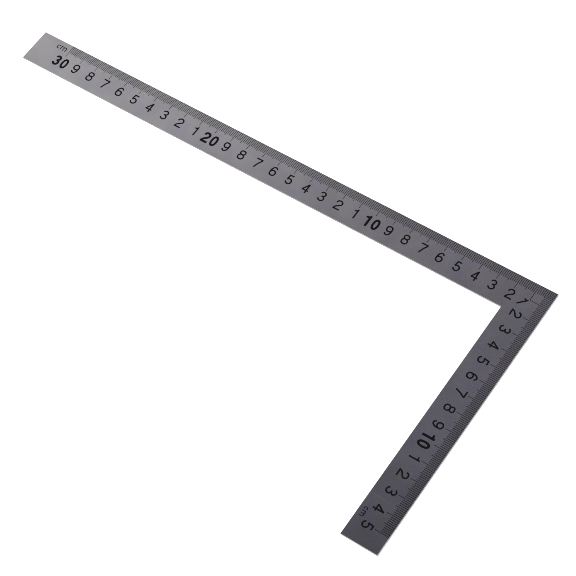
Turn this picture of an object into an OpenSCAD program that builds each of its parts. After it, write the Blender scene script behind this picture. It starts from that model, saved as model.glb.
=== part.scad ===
// Steel square ruler: one L-shaped sheet with a scale etched along both outer edges.
// Origin: the outer corner of the square, on the underside. The long arm runs along -X,
// the short arm along -Y, and the graduated face looks up, along +Z.

/* [Blade] */
// Length of the long arm, along its outer edge
long_arm_length = 320; // [315:1:400]
// Length of the short arm, along its outer edge
short_arm_length = 160; // [155:1:300]
// Width of both arms
arm_width = 20; // [19:0.5:30]
// Thickness of the sheet
thickness = 1; // [0.6:0.1:3]
// Radius of the broken edges, all round the sheet
edge_radius = 0.12; // [0.04:0.02:0.2]

/* [Etching] */
// Depth of the etched recesses below the face
etch_depth = 0.1; // [0.05:0.01:0.2]
// How far the infill stays below the face
infill_drop = 0.015; // [0:0.005:0.04]
// Width of a graduation line
line_width = 0.28; // [0.12:0.02:0.32]

/* [Scales] */
// Last centimetre on the long arm
long_scale_cm = 30; // [11:1:30]
// Last centimetre on the short arm
short_scale_cm = 15; // [11:1:15]
// Length of a millimetre line
mm_line = 5; // [3:0.5:5]
// Length of a half-centimetre line
half_cm_line = 6; // [5.5:0.5:7]
// Length of a centimetre line
cm_line = 7.8; // [7:0.1:8]

/* [Numerals] */
// Height of a single numeral
numeral_height = 6; // [4:0.5:6]
// Width of a single numeral
numeral_width = 3.85; // [3:0.05:4.2]
// Stroke of a single numeral
numeral_stroke = 0.82; // [0.5:0.02:0.9]
// Distance from the outer edge to the foot of a single numeral
numeral_foot = 14.75; // [14:0.25:16]
// Height of a decade numeral
decade_height = 6.75; // [5:0.25:7]
// Width of one digit of a decade numeral
decade_width = 4.15; // [3:0.05:4.4]
// Stroke of a decade numeral
decade_stroke = 1.32; // [0.8:0.02:1.36]
// Distance from the outer edge to the foot of a decade numeral
decade_foot = 15.5; // [15:0.25:16.5]
// Distance between the centres of a decade numeral's two digits
decade_pitch = 5.05; // [4.8:0.05:5.4]

/* [Unit marks] */
// Height of the long arm's unit mark
long_unit_height = 2.65; // [2:0.05:3]
// Height of the short arm's unit mark
short_unit_height = 2.2; // [1.8:0.05:2.6]

/* [Hidden] */

steel = "#8f8d92";
enamel = "#16161e";
cm = 10;
half_cm = 5;
// Lines start where the flat face starts, just inside the rounded edge.
line_start = edge_radius;
// Recesses are cut this far above the face, so that they open cleanly.
cut_above = 0.5;
// Steps of the curves: a numeral's bow, a small letter's bow and an edge's quarter round.
bow_step = 15;
letter_step = 20;
edge_step = 22.5;
// A superellipse exponent: under 1, an oval is a little fuller than an ellipse.
fullness = 0.88;
// The sides of a nought and an eight are a little thinner than their tops and bottoms.
slim_sides = 0.9;
// A numeral stands this far to the right of its line.
numeral_shift = 0.12;
// The short arm's decade numeral stands this far to the left of its line.
short_decade_shift = 0.28;
// The stroke of a unit mark, as a share of its height.
unit_stroke_share = 0.19;
// The long arm's unit mark: its left end from the zero, and its foot from the outer edge.
long_unit_start = 308.5;
long_unit_foot = 5.55;
// The short arm's unit mark: its start from the zero, and its foot from the outer edge.
short_unit_start = 142.6;
short_unit_foot = 18;
// The corner numeral: how far along both arms its foot stands.
corner_numeral_at = 14.65;

// ---- Outlines of strokes ----

// Points on an ellipse, from one angle to another.
function arc(at, radii, from, to, step = bow_step) =
    let (count = ceil(abs(to - from) / step))
    [for (i = [0:count])
        let (a = from + (to - from) * i / count)
        [at.x + radii.x * cos(a), at.y + radii.y * sin(a)]];

// Points on a closed oval that is a little fuller than an ellipse.
function full(v) = sign(v) * pow(abs(v), fullness);
function oval(at, radii) =
    [for (a = [0:bow_step:360 - bow_step])
        [at.x + radii.x * full(cos(a)), at.y + radii.y * full(sin(a))]];

// The unit normal on the left of the way from one point to the next.
function left_of(a, b) = let (d = (b - a) / norm(b - a)) [-d.y, d.x];

// The mitred offset at a point of a path, for half a stroke.
function mitre(path, i, half) =
    let (
        last = len(path) - 1,
        before = left_of(path[max(i - 1, 0)], path[max(i, 1)]),
        after = left_of(path[min(i, last - 1)], path[min(i + 1, last)]),
        middle = (before + after) / norm(before + after)
    )
    middle * half / (middle * before);

// A stroke of even width along an open path, as one outline.
function stroke_outline(path, width) = concat(
    [for (i = [0:len(path) - 1]) path[i] + mitre(path, i, width / 2)],
    [for (i = [len(path) - 1:-1:0]) path[i] - mitre(path, i, width / 2)]
);

module stroke(path, width) {
    polygon(stroke_outline(path, width));
}

// A closed oval stroke: radii run to its outside, and side is its sides' share of its width.
module ring(at, radii, width, side = 1) {
    outside = oval(at, radii);
    inside = oval(at, radii - [side * width, width]);
    count = len(outside);
    polygon(
        concat(outside, inside),
        [[for (i = [0:count - 1]) i], [for (i = [0:count - 1]) count + i]]
    );
}

// ---- Numerals ----
// Each stands on y = 0 with its middle on x = 0. h is its height, w its width, s its stroke.

module zero(h, w, s) {
    ring([0, h / 2], [0.465 * w, h / 2], s, slim_sides);
}

module one(h, w, s) {
    right = 0.12 * w + 0.6 * s;
    tip = -0.18 * w - 0.6 * s;
    flag_low = 0.715 * h;
    flag_high = flag_low + 0.75 * s;
    shoulder = right - 0.8 * s;
    polygon(concat(
        [[right - s, 0], [right, 0], [right, h], [shoulder, h]],
        arc([tip, h], [shoulder - tip, h - flag_high], -bow_step, -90),
        [[tip, flag_low], [right - s, flag_low]]
    ));
}

module two(h, w, s) {
    b = (w - s) / 2;
    bow = [0, 0.7 * h];
    foot = 1.62 * b;
    difference() {
        stroke(concat(
            arc(bow, [b, 0.3 * h - s / 2], 188, -38),
            arc([foot - b, 0], [foot, 0.44 * h], 112, 180)
        ), s);
        translate([-w, -h]) square([2 * w, h]);
    }
    translate([-w / 2, 0]) square([w, s]);
}

module three(h, w, s) {
    b = (w - s) / 2;
    waist = 0.53 * h;
    neck = [-0.3 * b, waist];
    top = (h - s / 2 - waist) / 2;
    low = (waist - s / 2) / 2;
    stroke(concat(arc([0, waist + top], [0.88 * b, top], 168, -90), [neck]), s);
    stroke(concat([neck], arc([0, waist - low], [b, low], 90, -168)), s);
}

module four(h, w, s) {
    left = -0.42 * w;
    right = 0.56 * w;
    stem = right - 0.2 * w - s;
    bar_low = 0.235 * h;
    bar_high = bar_low + 0.93 * s;
    rise = (h - bar_high) / (stem + 0.1 * s - left);
    diagonal = s * sqrt(1 + rise * rise);
    polygon(
        [
            [stem, 0], [stem + s, 0], [stem + s, bar_low], [right, bar_low],
            [right, bar_high], [stem + s, bar_high], [stem + s, h], [stem + 0.1 * s, h],
            [left, bar_high], [left, bar_low], [stem, bar_low],
            [stem, bar_high], [left + diagonal / rise, bar_high],
            [stem, bar_high + rise * (stem - left) - diagonal]
        ],
        [[0, 1, 2, 3, 4, 5, 6, 7, 8, 9, 10], [11, 12, 13]]
    );
}

module five(h, w, s) {
    b = (w - s) / 2;
    bow = [0, 0.325 * h];
    heel = [-0.86 * b, 0.47 * h];
    stroke([[0.84 * b, h - s / 2], [-0.6 * b, h - s / 2], heel], s);
    stroke(arc(bow, [b, 0.325 * h - s / 2], 148, -166), s);
}

module six(h, w, s) {
    b = (w - s) / 2;
    tail = 0.5 * h;
    ring([0, 0.32 * h], [w / 2, 0.32 * h], s);
    stroke(concat(
        arc([0.06 * b, tail], [1.06 * b, tail - s / 2], 38, 180),
        [[-b, 0.32 * h]]
    ), s);
}

module seven(h, w, s) {
    foot = -0.155 * w;
    reach = 2.7 * w;
    translate([-w / 2, h - s]) square([w, s]);
    intersection() {
        translate([-w / 2, 0]) square([w, h]);
        stroke(arc([foot + 0.97 * reach, -h / 2], [reach, 2.1 * h], 137, 168, 5), s);
    }
}

module eight(h, w, s) {
    waist = 0.54 * h;
    top = (h - waist + s / 2) / 2;
    low = (waist + s / 2) / 2;
    ring([0, h - top], [0.46 * w, top], s, slim_sides);
    ring([0, low], [w / 2, low], s, slim_sides);
}

module nine(h, w, s) {
    translate([0, h]) rotate(180) six(h, w, s);
}

module digit(value, h, w, s) {
    if (value == 0) zero(h, w, s);
    if (value == 1) one(h, w, s);
    if (value == 2) two(h, w, s);
    if (value == 3) three(h, w, s);
    if (value == 4) four(h, w, s);
    if (value == 5) five(h, w, s);
    if (value == 6) six(h, w, s);
    if (value == 7) seven(h, w, s);
    if (value == 8) eight(h, w, s);
    if (value == 9) nine(h, w, s);
}

module single(value) {
    digit(value % 10, numeral_height, numeral_width, numeral_stroke);
}

module decade(value) {
    for (place = [0, 1])
        translate([(place - 0.5) * decade_pitch, 0])
            digit(place == 0 ? floor(value / 10) : 0, decade_height, decade_width, decade_stroke);
}

// The unit mark "cm", from x = 0, standing on y = 0.
module unit_mark(h) {
    s = unit_stroke_share * h;
    c_half = 0.43 * h;
    arch = 0.31 * h;
    m_start = 0.96 * h;
    spring = h - s / 2 - arch;
    stroke(arc([c_half, h / 2], [c_half - s / 2, (h - s) / 2], 42, 318, letter_step), s);
    translate([m_start, 0]) square([s, h]);
    for (leg = [0, 1])
        translate([m_start + s / 2 + leg * 2 * arch, 0]) stroke(concat(
            [[0, spring]],
            arc([arch, spring], [arch, arch], 160, 0, letter_step),
            [[2 * arch, 0]]
        ), s);
}

// ---- Places on the two arms ----

// Children are drawn as on a page: the long arm reads with its outer edge on top.
module on_long_arm(along, foot) {
    translate([-along, -foot]) children();
}

// The short arm reads with its outer edge on top too, so it is turned a quarter.
module on_short_arm(along, foot) {
    translate([-foot, -along]) rotate(-90) children();
}

// One graduation line, from the outer edge inwards. Its foot is at d = length.
module line(length) {
    translate([-line_width / 2, 0]) square([line_width, length - line_start]);
}

// What kind of line stands at a value in millimetres. The first centimetre's is a corner line.
function line_kind(v) =
    v == cm ? "corner" : v % cm == 0 ? "cm" : v % half_cm == 0 ? "half" : "mm";

module long_arm_lines(kind, length) {
    for (v = [half_cm + 1:long_scale_cm * cm])
        if (kind == line_kind(v)) on_long_arm(v, length) line(length);
}

module short_arm_lines(kind, length) {
    for (v = [half_cm + 1:short_scale_cm * cm])
        if (kind == line_kind(v)) on_short_arm(v, length) line(length);
}

// One line of each arm at the same value: they meet on the square's diagonal.
module corner_line(v) {
    w = line_width / 2;
    translate([-v - w, -v - w]) square([line_width, v + w - line_start]);
    translate([-v - w, -v - w]) square([v + w - line_start, line_width]);
}

module corner_lines(values) {
    for (v = values) corner_line(v);
}

// ---- The blade ----

// A sheet's cross-section: w wide and t thick, with rounded edges, from y = 0.
module section(w, t, r) {
    corners = [[w - r, t - r, 0], [r, t - r, 90], [r, r, 180], [w - r, r, 270]];
    polygon([for (c = corners) each arc([c.x, c.y], [r, r], c.z, c.z + 90, edge_step)]);
}

// A bar from [x, y] to the outer edges, rounded on all its edges.
module rounded_bar(x, y) {
    intersection() {
        translate([-x, -y, 0]) rotate([90, 0, 90])
            linear_extrude(x) section(y, thickness, edge_radius);
        translate([-x, 0, 0]) rotate([90, 0, 0])
            linear_extrude(y) section(x, thickness, edge_radius);
    }
}

module all_etching() {
    long_arm_lines("mm", mm_line);
    long_arm_lines("half", half_cm_line);
    long_arm_lines("cm", cm_line);
    short_arm_lines("mm", mm_line);
    short_arm_lines("half", half_cm_line);
    short_arm_lines("cm", cm_line);
    corner_lines([1:half_cm]);
    corner_lines([cm]);
    long_arm_digits();
    long_arm_decades();
    short_arm_digits();
    short_arm_decades();
    corner_digit();
    long_arm_unit();
    short_arm_unit();
}

module blade() {
    color(steel) difference() {
        union() {
            rounded_bar(long_arm_length, arm_width);
            rounded_bar(arm_width, short_arm_length);
        }
        translate([0, 0, thickness - etch_depth])
            linear_extrude(etch_depth + cut_above) all_etching();
    }
}

// ---- What the etching says ----

module long_arm_digits() {
    for (v = [2:long_scale_cm])
        if (v % 10 != 0) on_long_arm(v * cm - numeral_shift, numeral_foot) single(v);
}

module long_arm_decades() {
    for (v = [10:10:long_scale_cm])
        on_long_arm(v * cm - numeral_shift, decade_foot) decade(v);
}

module short_arm_digits() {
    for (v = [2:short_scale_cm])
        if (v % 10 != 0) on_short_arm(v * cm + numeral_shift, numeral_foot) single(v);
}

module short_arm_decades() {
    for (v = [10:10:short_scale_cm])
        on_short_arm(v * cm - short_decade_shift, decade_foot) decade(v);
}

// The first centimetre of both arms shares one numeral, which stands on the diagonal.
module corner_digit() {
    stem_middle = 0.12 * numeral_width + 0.1 * numeral_stroke;
    translate([-corner_numeral_at, -corner_numeral_at]) rotate(-45)
        translate([-stem_middle, 0]) single(1);
}

module long_arm_unit() {
    on_long_arm(long_unit_start, long_unit_foot) unit_mark(long_unit_height);
}

module short_arm_unit() {
    on_short_arm(short_unit_start, short_unit_foot) unit_mark(short_unit_height);
}

// ---- The infill, which lies in the recesses ----

module infill() {
    color(enamel) translate([0, 0, thickness - etch_depth])
        linear_extrude(etch_depth - infill_drop) children();
}

module long_arm_mm_lines() { infill() long_arm_lines("mm", mm_line); }
module long_arm_half_cm_lines() { infill() long_arm_lines("half", half_cm_line); }
module long_arm_cm_lines() { infill() long_arm_lines("cm", cm_line); }
module long_arm_numerals() { infill() long_arm_digits(); }
module long_arm_decade_numerals() { infill() long_arm_decades(); }
module long_arm_unit_mark() { infill() long_arm_unit(); }
module short_arm_mm_lines() { infill() short_arm_lines("mm", mm_line); }
module short_arm_half_cm_lines() { infill() short_arm_lines("half", half_cm_line); }
module short_arm_cm_lines() { infill() short_arm_lines("cm", cm_line); }
module short_arm_numerals() { infill() short_arm_digits(); }
module short_arm_decade_numeral() { infill() short_arm_decades(); }
module short_arm_unit_mark() { infill() short_arm_unit(); }
module corner_mm_lines() { infill() corner_lines([1:half_cm]); }
module corner_cm_lines() { infill() corner_lines([cm]); }
module corner_numeral() { infill() corner_digit(); }

blade();
long_arm_mm_lines();
long_arm_half_cm_lines();
long_arm_cm_lines();
long_arm_numerals();
long_arm_decade_numerals();
long_arm_unit_mark();
short_arm_mm_lines();
short_arm_half_cm_lines();
short_arm_cm_lines();
short_arm_numerals();
short_arm_decade_numeral();
short_arm_unit_mark();
corner_mm_lines();
corner_cm_lines();
corner_numeral();
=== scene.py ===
"""A steel square ruler lying on a white studio floor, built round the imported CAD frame."""

import math

import bpy
from mathutils import Matrix, Vector


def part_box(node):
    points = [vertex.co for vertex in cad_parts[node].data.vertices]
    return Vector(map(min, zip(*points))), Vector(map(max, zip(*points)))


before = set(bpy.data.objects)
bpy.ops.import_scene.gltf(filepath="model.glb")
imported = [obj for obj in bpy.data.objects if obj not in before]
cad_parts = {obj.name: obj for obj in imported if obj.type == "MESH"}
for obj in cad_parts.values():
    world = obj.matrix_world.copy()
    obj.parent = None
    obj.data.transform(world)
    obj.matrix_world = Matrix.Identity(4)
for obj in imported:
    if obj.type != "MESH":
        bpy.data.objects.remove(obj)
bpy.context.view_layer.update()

# ---- Named values, in metres and degrees ----

# The blade's box: its high corner is the square's outer corner, on the graduated face.
BLADE_LOW, BLADE_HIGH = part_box("blade")
FACE_Z = BLADE_HIGH.z
# How far the two scales run from the outer corner
LONG_SCALE = 0.300
SHORT_SCALE = 0.150

# The camera: where it stands, and the point of the graduated face that it looks at
CAMERA_AT = Vector((0.2059, -0.4090, FACE_Z + 0.7580))
CAMERA_LOOKS_AT = Vector((-0.1139, -0.0654, FACE_Z))
CAMERA_ROLL = -9.84
LENS_MM = 113.58
SENSOR_MM = 36.0
# A narrow pixel filter keeps the millimetre lines apart.
PIXEL_FILTER = 0.9

# The floor: half its side, its gap below the blade, its white and its roughness
FLOOR_HALF = 8.0
FLOOR_GAP = 0.00005
FLOOR_WHITE = (0.9, 0.9, 0.9)
FLOOR_ROUGHNESS = 0.9

# The light over the floor: where it stands, its side, and its power in watts
KEY_AT = Vector((-0.4, -0.5, 1.6))
KEY_SIDE = 1.6
KEY_WATTS = 40.0

# The studio's walls and ceiling: elevation, and the light that comes from there
STUDIO = (
    (0.0, (1.00, 0.99, 0.985)),
    (30.0, (0.95, 0.94, 0.94)),
    (40.0, (0.61, 0.60, 0.58)),
    (46.0, (0.56, 0.55, 0.545)),
    (50.0, (0.63, 0.625, 0.64)),
    (53.0, (0.57, 0.565, 0.59)),
    (56.0, (0.265, 0.255, 0.275)),
    (59.0, (0.11, 0.10, 0.13)),
    (62.0, (0.22, 0.215, 0.26)),
    (66.0, (0.12, 0.12, 0.14)),
    (71.0, (0.01, 0.01, 0.012)),
    (80.0, (0.05, 0.05, 0.055)),
    (90.0, (0.50, 0.50, 0.53)),
)

# ---- Shader nodes ----


class Shader:
    """A node material with one Principled shader, and short ways to feed it."""

    def __init__(self, name):
        self.material = bpy.data.materials.new(name)
        self.material.use_nodes = True
        self.tree = self.material.node_tree
        self.tree.nodes.clear()
        output = self.add("OutputMaterial")
        self.surface = self.add("BsdfPrincipled")
        self.tree.links.new(self.surface.outputs["BSDF"], output.inputs["Surface"])
        self.place = self.add("TexCoord").outputs["Object"]

    def add(self, kind):
        return self.tree.nodes.new("ShaderNode" + kind)

    def put(self, socket, value):
        """Links another node's output to a socket, or sets the socket to a plain value."""
        if isinstance(value, bpy.types.NodeSocket):
            self.tree.links.new(value, socket)
        elif socket.type == "RGBA":
            socket.default_value = (*value, 1.0)
        else:
            socket.default_value = value

    def feed(self, name, value):
        self.put(self.surface.inputs[name], value)

    def axes(self, vector):
        """The X, Y and Z outputs of a vector, by name."""
        split = self.add("SeparateXYZ")
        self.put(split.inputs["Vector"], vector)
        return split.outputs

    def noise(self, grains, detail=2.0, turn=0.0):
        """Noise with so many grains a metre along X, Y and Z, turned round Z."""
        mapping = self.add("Mapping")
        mapping.inputs["Rotation"].default_value = (0.0, 0.0, math.radians(turn))
        mapping.inputs["Scale"].default_value = grains
        self.put(mapping.inputs["Vector"], self.place)
        noise = self.add("TexNoise")
        noise.inputs["Scale"].default_value = 1.0
        noise.inputs["Detail"].default_value = detail
        self.put(noise.inputs["Vector"], mapping.outputs["Vector"])
        return noise.outputs["Fac"]

    def spread(self, value, low, high, to_low=0.0, to_high=1.0):
        """A smooth step from to_low to to_high, while the value goes from low to high."""
        step = self.add("MapRange")
        step.interpolation_type = "SMOOTHSTEP"
        self.put(step.inputs["Value"], value)
        self.put(step.inputs["From Min"], low)
        self.put(step.inputs["From Max"], high)
        self.put(step.inputs["To Min"], to_low)
        self.put(step.inputs["To Max"], to_high)
        return step.outputs["Result"]

    def mix(self, share, first, second):
        """A colour that goes from the first to the second as share goes from 0 to 1."""
        blend = self.add("MixRGB")
        self.put(blend.inputs["Fac"], share)
        self.put(blend.inputs["Color1"], first)
        self.put(blend.inputs["Color2"], second)
        return blend.outputs["Color"]

    def combine(self, operation, *values):
        """Numbers or outputs put together by a Math node."""
        math_node = self.add("Math")
        math_node.operation = operation
        for socket, value in zip(math_node.inputs, values):
            self.put(socket, value)
        return math_node.outputs["Value"]

    def bump(self, height, depth, under=None):
        """A normal that follows a height from 0 to 1, depth metres deep."""
        bump = self.add("Bump")
        bump.inputs["Distance"].default_value = depth
        self.put(bump.inputs["Height"], height)
        if under is not None:
            self.put(bump.inputs["Normal"], under)
        return bump.outputs["Normal"]


# ---- Steel ----

STEEL_PALE = (0.600, 0.590, 0.605)
STEEL_DEEP = (0.535, 0.525, 0.540)
STEEL_VIOLET = (0.535, 0.530, 0.610)
STEEL_ROSY = (0.600, 0.560, 0.575)
EDGE_STEEL = (0.260, 0.255, 0.250)
HAIRLINE_STEEL = (0.720, 0.710, 0.730)
HAZE_STEEL = (0.190, 0.195, 0.140)

# Noise: grains to a metre along X, Y and Z
GRAIN = (2600.0, 2600.0, 2600.0)
BRUSHING = (45.0, 3200.0, 3200.0)
CLOUDS = (60.0, 60.0, 60.0)
SCRATCHES = (9.0, 900.0, 1.0)
HAZE_PATCHES = (150.0, 150.0, 50.0)

# Stains: grains, turn, the noise where a stain starts and where it is full, its strength, its colour
STAINS = (
    ((75.0, 110.0, 50.0), 30.0, 0.50, 0.72, 0.8, STEEL_VIOLET),
    ((110.0, 70.0, 50.0), -40.0, 0.55, 0.75, 0.7, STEEL_ROSY),
)
# Scratches: their turn, and the noise where one starts; a higher start makes them rarer
SCRATCH_SETS = ((17.0, 0.72), (-38.0, 0.74))
SCRATCH_FADE = 0.05
SCRATCH_STRENGTH = 0.5
# The haze's bands: depth from the outer edge, half the width of the fade, and strength
HAZE_BANDS = (
    (0.0049, 0.0003, 0.18),
    (0.0010, 0.0004, 0.20),
)
HAZE_END_FADE = 0.0005
# The smallest share of the haze that is left between its patches
HAZE_THINNEST = 0.6

# How upright the normal is where the face gives way to a wall, and where the wall is full
EDGE_STARTS, EDGE_FULL = 0.55, 0.2
SMOOTHEST, ROUGHEST = 0.16, 0.20
EDGE_ROUGHER = 0.2
BRUSHING_DEPTH = 0.000001
GRAIN_DEPTH = 0.000003


def stained(steel):
    """The bare steel's colour: soft clouds, with violet and rosy stains over them."""
    clouds = steel.noise(CLOUDS, 3.0)
    colour = steel.mix(steel.spread(clouds, 0.35, 0.65), STEEL_DEEP, STEEL_PALE)
    for grains, turn, start, full, strength, stain in STAINS:
        patches = steel.noise(grains, 1.0, turn)
        colour = steel.mix(steel.spread(patches, start, full, 0.0, strength), colour, stain)
    return colour


def scratched(steel, colour):
    """Long fine scratches, a few to a hand's breadth, in two directions."""
    for turn, start in SCRATCH_SETS:
        scratch = steel.noise(SCRATCHES, 1.0, turn)
        share = steel.spread(scratch, start, start + SCRATCH_FADE, 0.0, SCRATCH_STRENGTH)
        colour = steel.mix(share, colour, HAIRLINE_STEEL)
    return colour


def hazed(steel, colour):
    """Wiping the enamel leaves a faint haze between the graduations, densest at the outer edges."""
    place = steel.axes(steel.place)
    patchy = steel.spread(steel.noise(HAZE_PATCHES), 0.3, 0.7, HAZE_THINNEST, 1.0)
    arms = (
        ("Y", BLADE_HIGH.y, "X", BLADE_HIGH.x - LONG_SCALE),
        ("X", BLADE_HIGH.x, "Y", BLADE_HIGH.y - SHORT_SCALE),
    )
    for across, outer_edge, along, scale_end in arms:
        on_scale = steel.spread(place[along], scale_end - HAZE_END_FADE, scale_end)
        for depth, fade, strength in HAZE_BANDS:
            inner = outer_edge - depth
            band = steel.spread(place[across], inner - fade, inner + fade, 0.0, strength)
            share = steel.combine("MULTIPLY", steel.combine("MULTIPLY", band, on_scale), patchy)
            colour = steel.mix(share, colour, HAZE_STEEL)
    return colour


def satin_steel():
    """Rolled stainless sheet: satin faces, and ground edges that are darker and rougher."""
    steel = Shader("satin_steel")
    normal = steel.add("NewGeometry").outputs["Normal"]
    upright = steel.combine("ABSOLUTE", steel.axes(normal)["Z"])
    edge = steel.spread(upright, EDGE_STARTS, EDGE_FULL)
    colour = hazed(steel, scratched(steel, stained(steel)))
    steel.feed("Base Color", steel.mix(edge, colour, EDGE_STEEL))
    steel.feed("Metallic", 1.0)

    grain = steel.noise(GRAIN, 3.0)
    roughness = steel.spread(grain, 0.3, 0.7, SMOOTHEST, ROUGHEST)
    rougher = steel.spread(edge, 0.0, 1.0, 0.0, EDGE_ROUGHER)
    steel.feed("Roughness", steel.combine("ADD", roughness, rougher))
    brushed = steel.bump(steel.noise(BRUSHING), BRUSHING_DEPTH)
    steel.feed("Normal", steel.bump(grain, GRAIN_DEPTH, brushed))
    return steel.material


# ---- Enamel and floor ----

ENAMEL_DEEP = (0.0020, 0.0020, 0.0030)
ENAMEL_PALE = (0.0045, 0.0045, 0.0060)
ENAMEL_THIN = (0.012, 0.012, 0.014)
ENAMEL_SPECKS = (3000.0, 3000.0, 3000.0)
ENAMEL_THIN_PATCHES = (160.0, 160.0, 160.0)
ENAMEL_SPECULAR = 0.10
ENAMEL_SPECK_DEPTH = 0.000004


def black_enamel():
    """Matt black enamel, wiped into the etching, and a little thinner here and there."""
    enamel = Shader("black_enamel")
    speck = enamel.noise(ENAMEL_SPECKS)
    thin = enamel.spread(enamel.noise(ENAMEL_THIN_PATCHES), 0.5, 0.8, 0.0, 0.3)
    colour = enamel.mix(thin, enamel.mix(speck, ENAMEL_DEEP, ENAMEL_PALE), ENAMEL_THIN)
    enamel.feed("Base Color", colour)
    enamel.feed("Roughness", enamel.spread(speck, 0.3, 0.7, 0.45, 0.65))
    enamel.feed("Specular IOR Level", ENAMEL_SPECULAR)
    enamel.feed("Normal", enamel.bump(speck, ENAMEL_SPECK_DEPTH))
    return enamel.material


def white_floor():
    floor = Shader("white_floor")
    floor.feed("Base Color", FLOOR_WHITE)
    floor.feed("Roughness", FLOOR_ROUGHNESS)
    return floor.material


def paint(thing, material):
    thing.data.materials.clear()
    thing.data.materials.append(material)


# ---- The ruler ----


def finish_ruler():
    """Paints the blade as steel, and every other CAD node as the enamel in its etching."""
    steel = satin_steel()
    enamel = black_enamel()
    for name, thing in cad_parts.items():
        if name == "blade":
            paint(thing, steel)
        else:
            paint(thing, enamel)


# ---- The studio ----


def lay_floor():
    z = BLADE_LOW.z - FLOOR_GAP
    corners = [(x * FLOOR_HALF, y * FLOOR_HALF, z) for x, y in ((-1, -1), (1, -1), (1, 1), (-1, 1))]
    mesh = bpy.data.meshes.new("floor")
    mesh.from_pydata(corners, [], [(0, 1, 2, 3)])
    floor = bpy.data.objects.new("floor", mesh)
    bpy.context.scene.collection.objects.link(floor)
    paint(floor, white_floor())


def light_walls():
    """The walls glow round the horizon and dim upwards, and the steel mirrors them."""
    world = bpy.data.worlds.new("studio")
    world.use_nodes = True
    tree = world.node_tree
    direction = tree.nodes.new("ShaderNodeTexCoord")
    split = tree.nodes.new("ShaderNodeSeparateXYZ")
    ramp = tree.nodes.new("ShaderNodeValToRGB")
    stops = ramp.color_ramp.elements
    while len(stops) < len(STUDIO):
        stops.new(1.0)
    for stop, (elevation, light) in zip(stops, STUDIO):
        stop.position = math.sin(math.radians(elevation))
        stop.color = (*light, 1.0)
    tree.links.new(direction.outputs["Generated"], split.inputs["Vector"])
    tree.links.new(split.outputs["Z"], ramp.inputs["Fac"])
    tree.links.new(ramp.outputs["Color"], tree.nodes["Background"].inputs["Color"])
    bpy.context.scene.world = world


def light_floor():
    """A large soft light that brings the floor up to white. The steel doesn't mirror it."""
    light = bpy.data.lights.new("key", "AREA")
    light.size = KEY_SIDE
    light.energy = KEY_WATTS
    key = bpy.data.objects.new("key", light)
    key.location = KEY_AT
    key.rotation_mode = "QUATERNION"
    key.rotation_quaternion = (-KEY_AT).to_track_quat("-Z", "Y")
    key.visible_glossy = False
    bpy.context.scene.collection.objects.link(key)


def set_camera():
    lens = bpy.data.cameras.new("camera")
    lens.lens = LENS_MM
    lens.sensor_width = SENSOR_MM
    camera = bpy.data.objects.new("camera", lens)
    facing = (CAMERA_LOOKS_AT - CAMERA_AT).to_track_quat("-Z", "Y").to_matrix().to_4x4()
    roll = Matrix.Rotation(math.radians(CAMERA_ROLL), 4, "Z")
    camera.matrix_world = Matrix.Translation(CAMERA_AT) @ facing @ roll
    bpy.context.scene.collection.objects.link(camera)
    bpy.context.scene.camera = camera


def set_picture():
    """Plain colours, and neither the pixel filter nor the denoiser may wipe out the millimetre lines."""
    bpy.context.scene.view_settings.view_transform = "Standard"
    bpy.context.scene.cycles.filter_width = PIXEL_FILTER
    bpy.context.scene.cycles.denoising_prefilter = "NONE"


finish_ruler()
lay_floor()
light_walls()
light_floor()
set_camera()
set_picture()
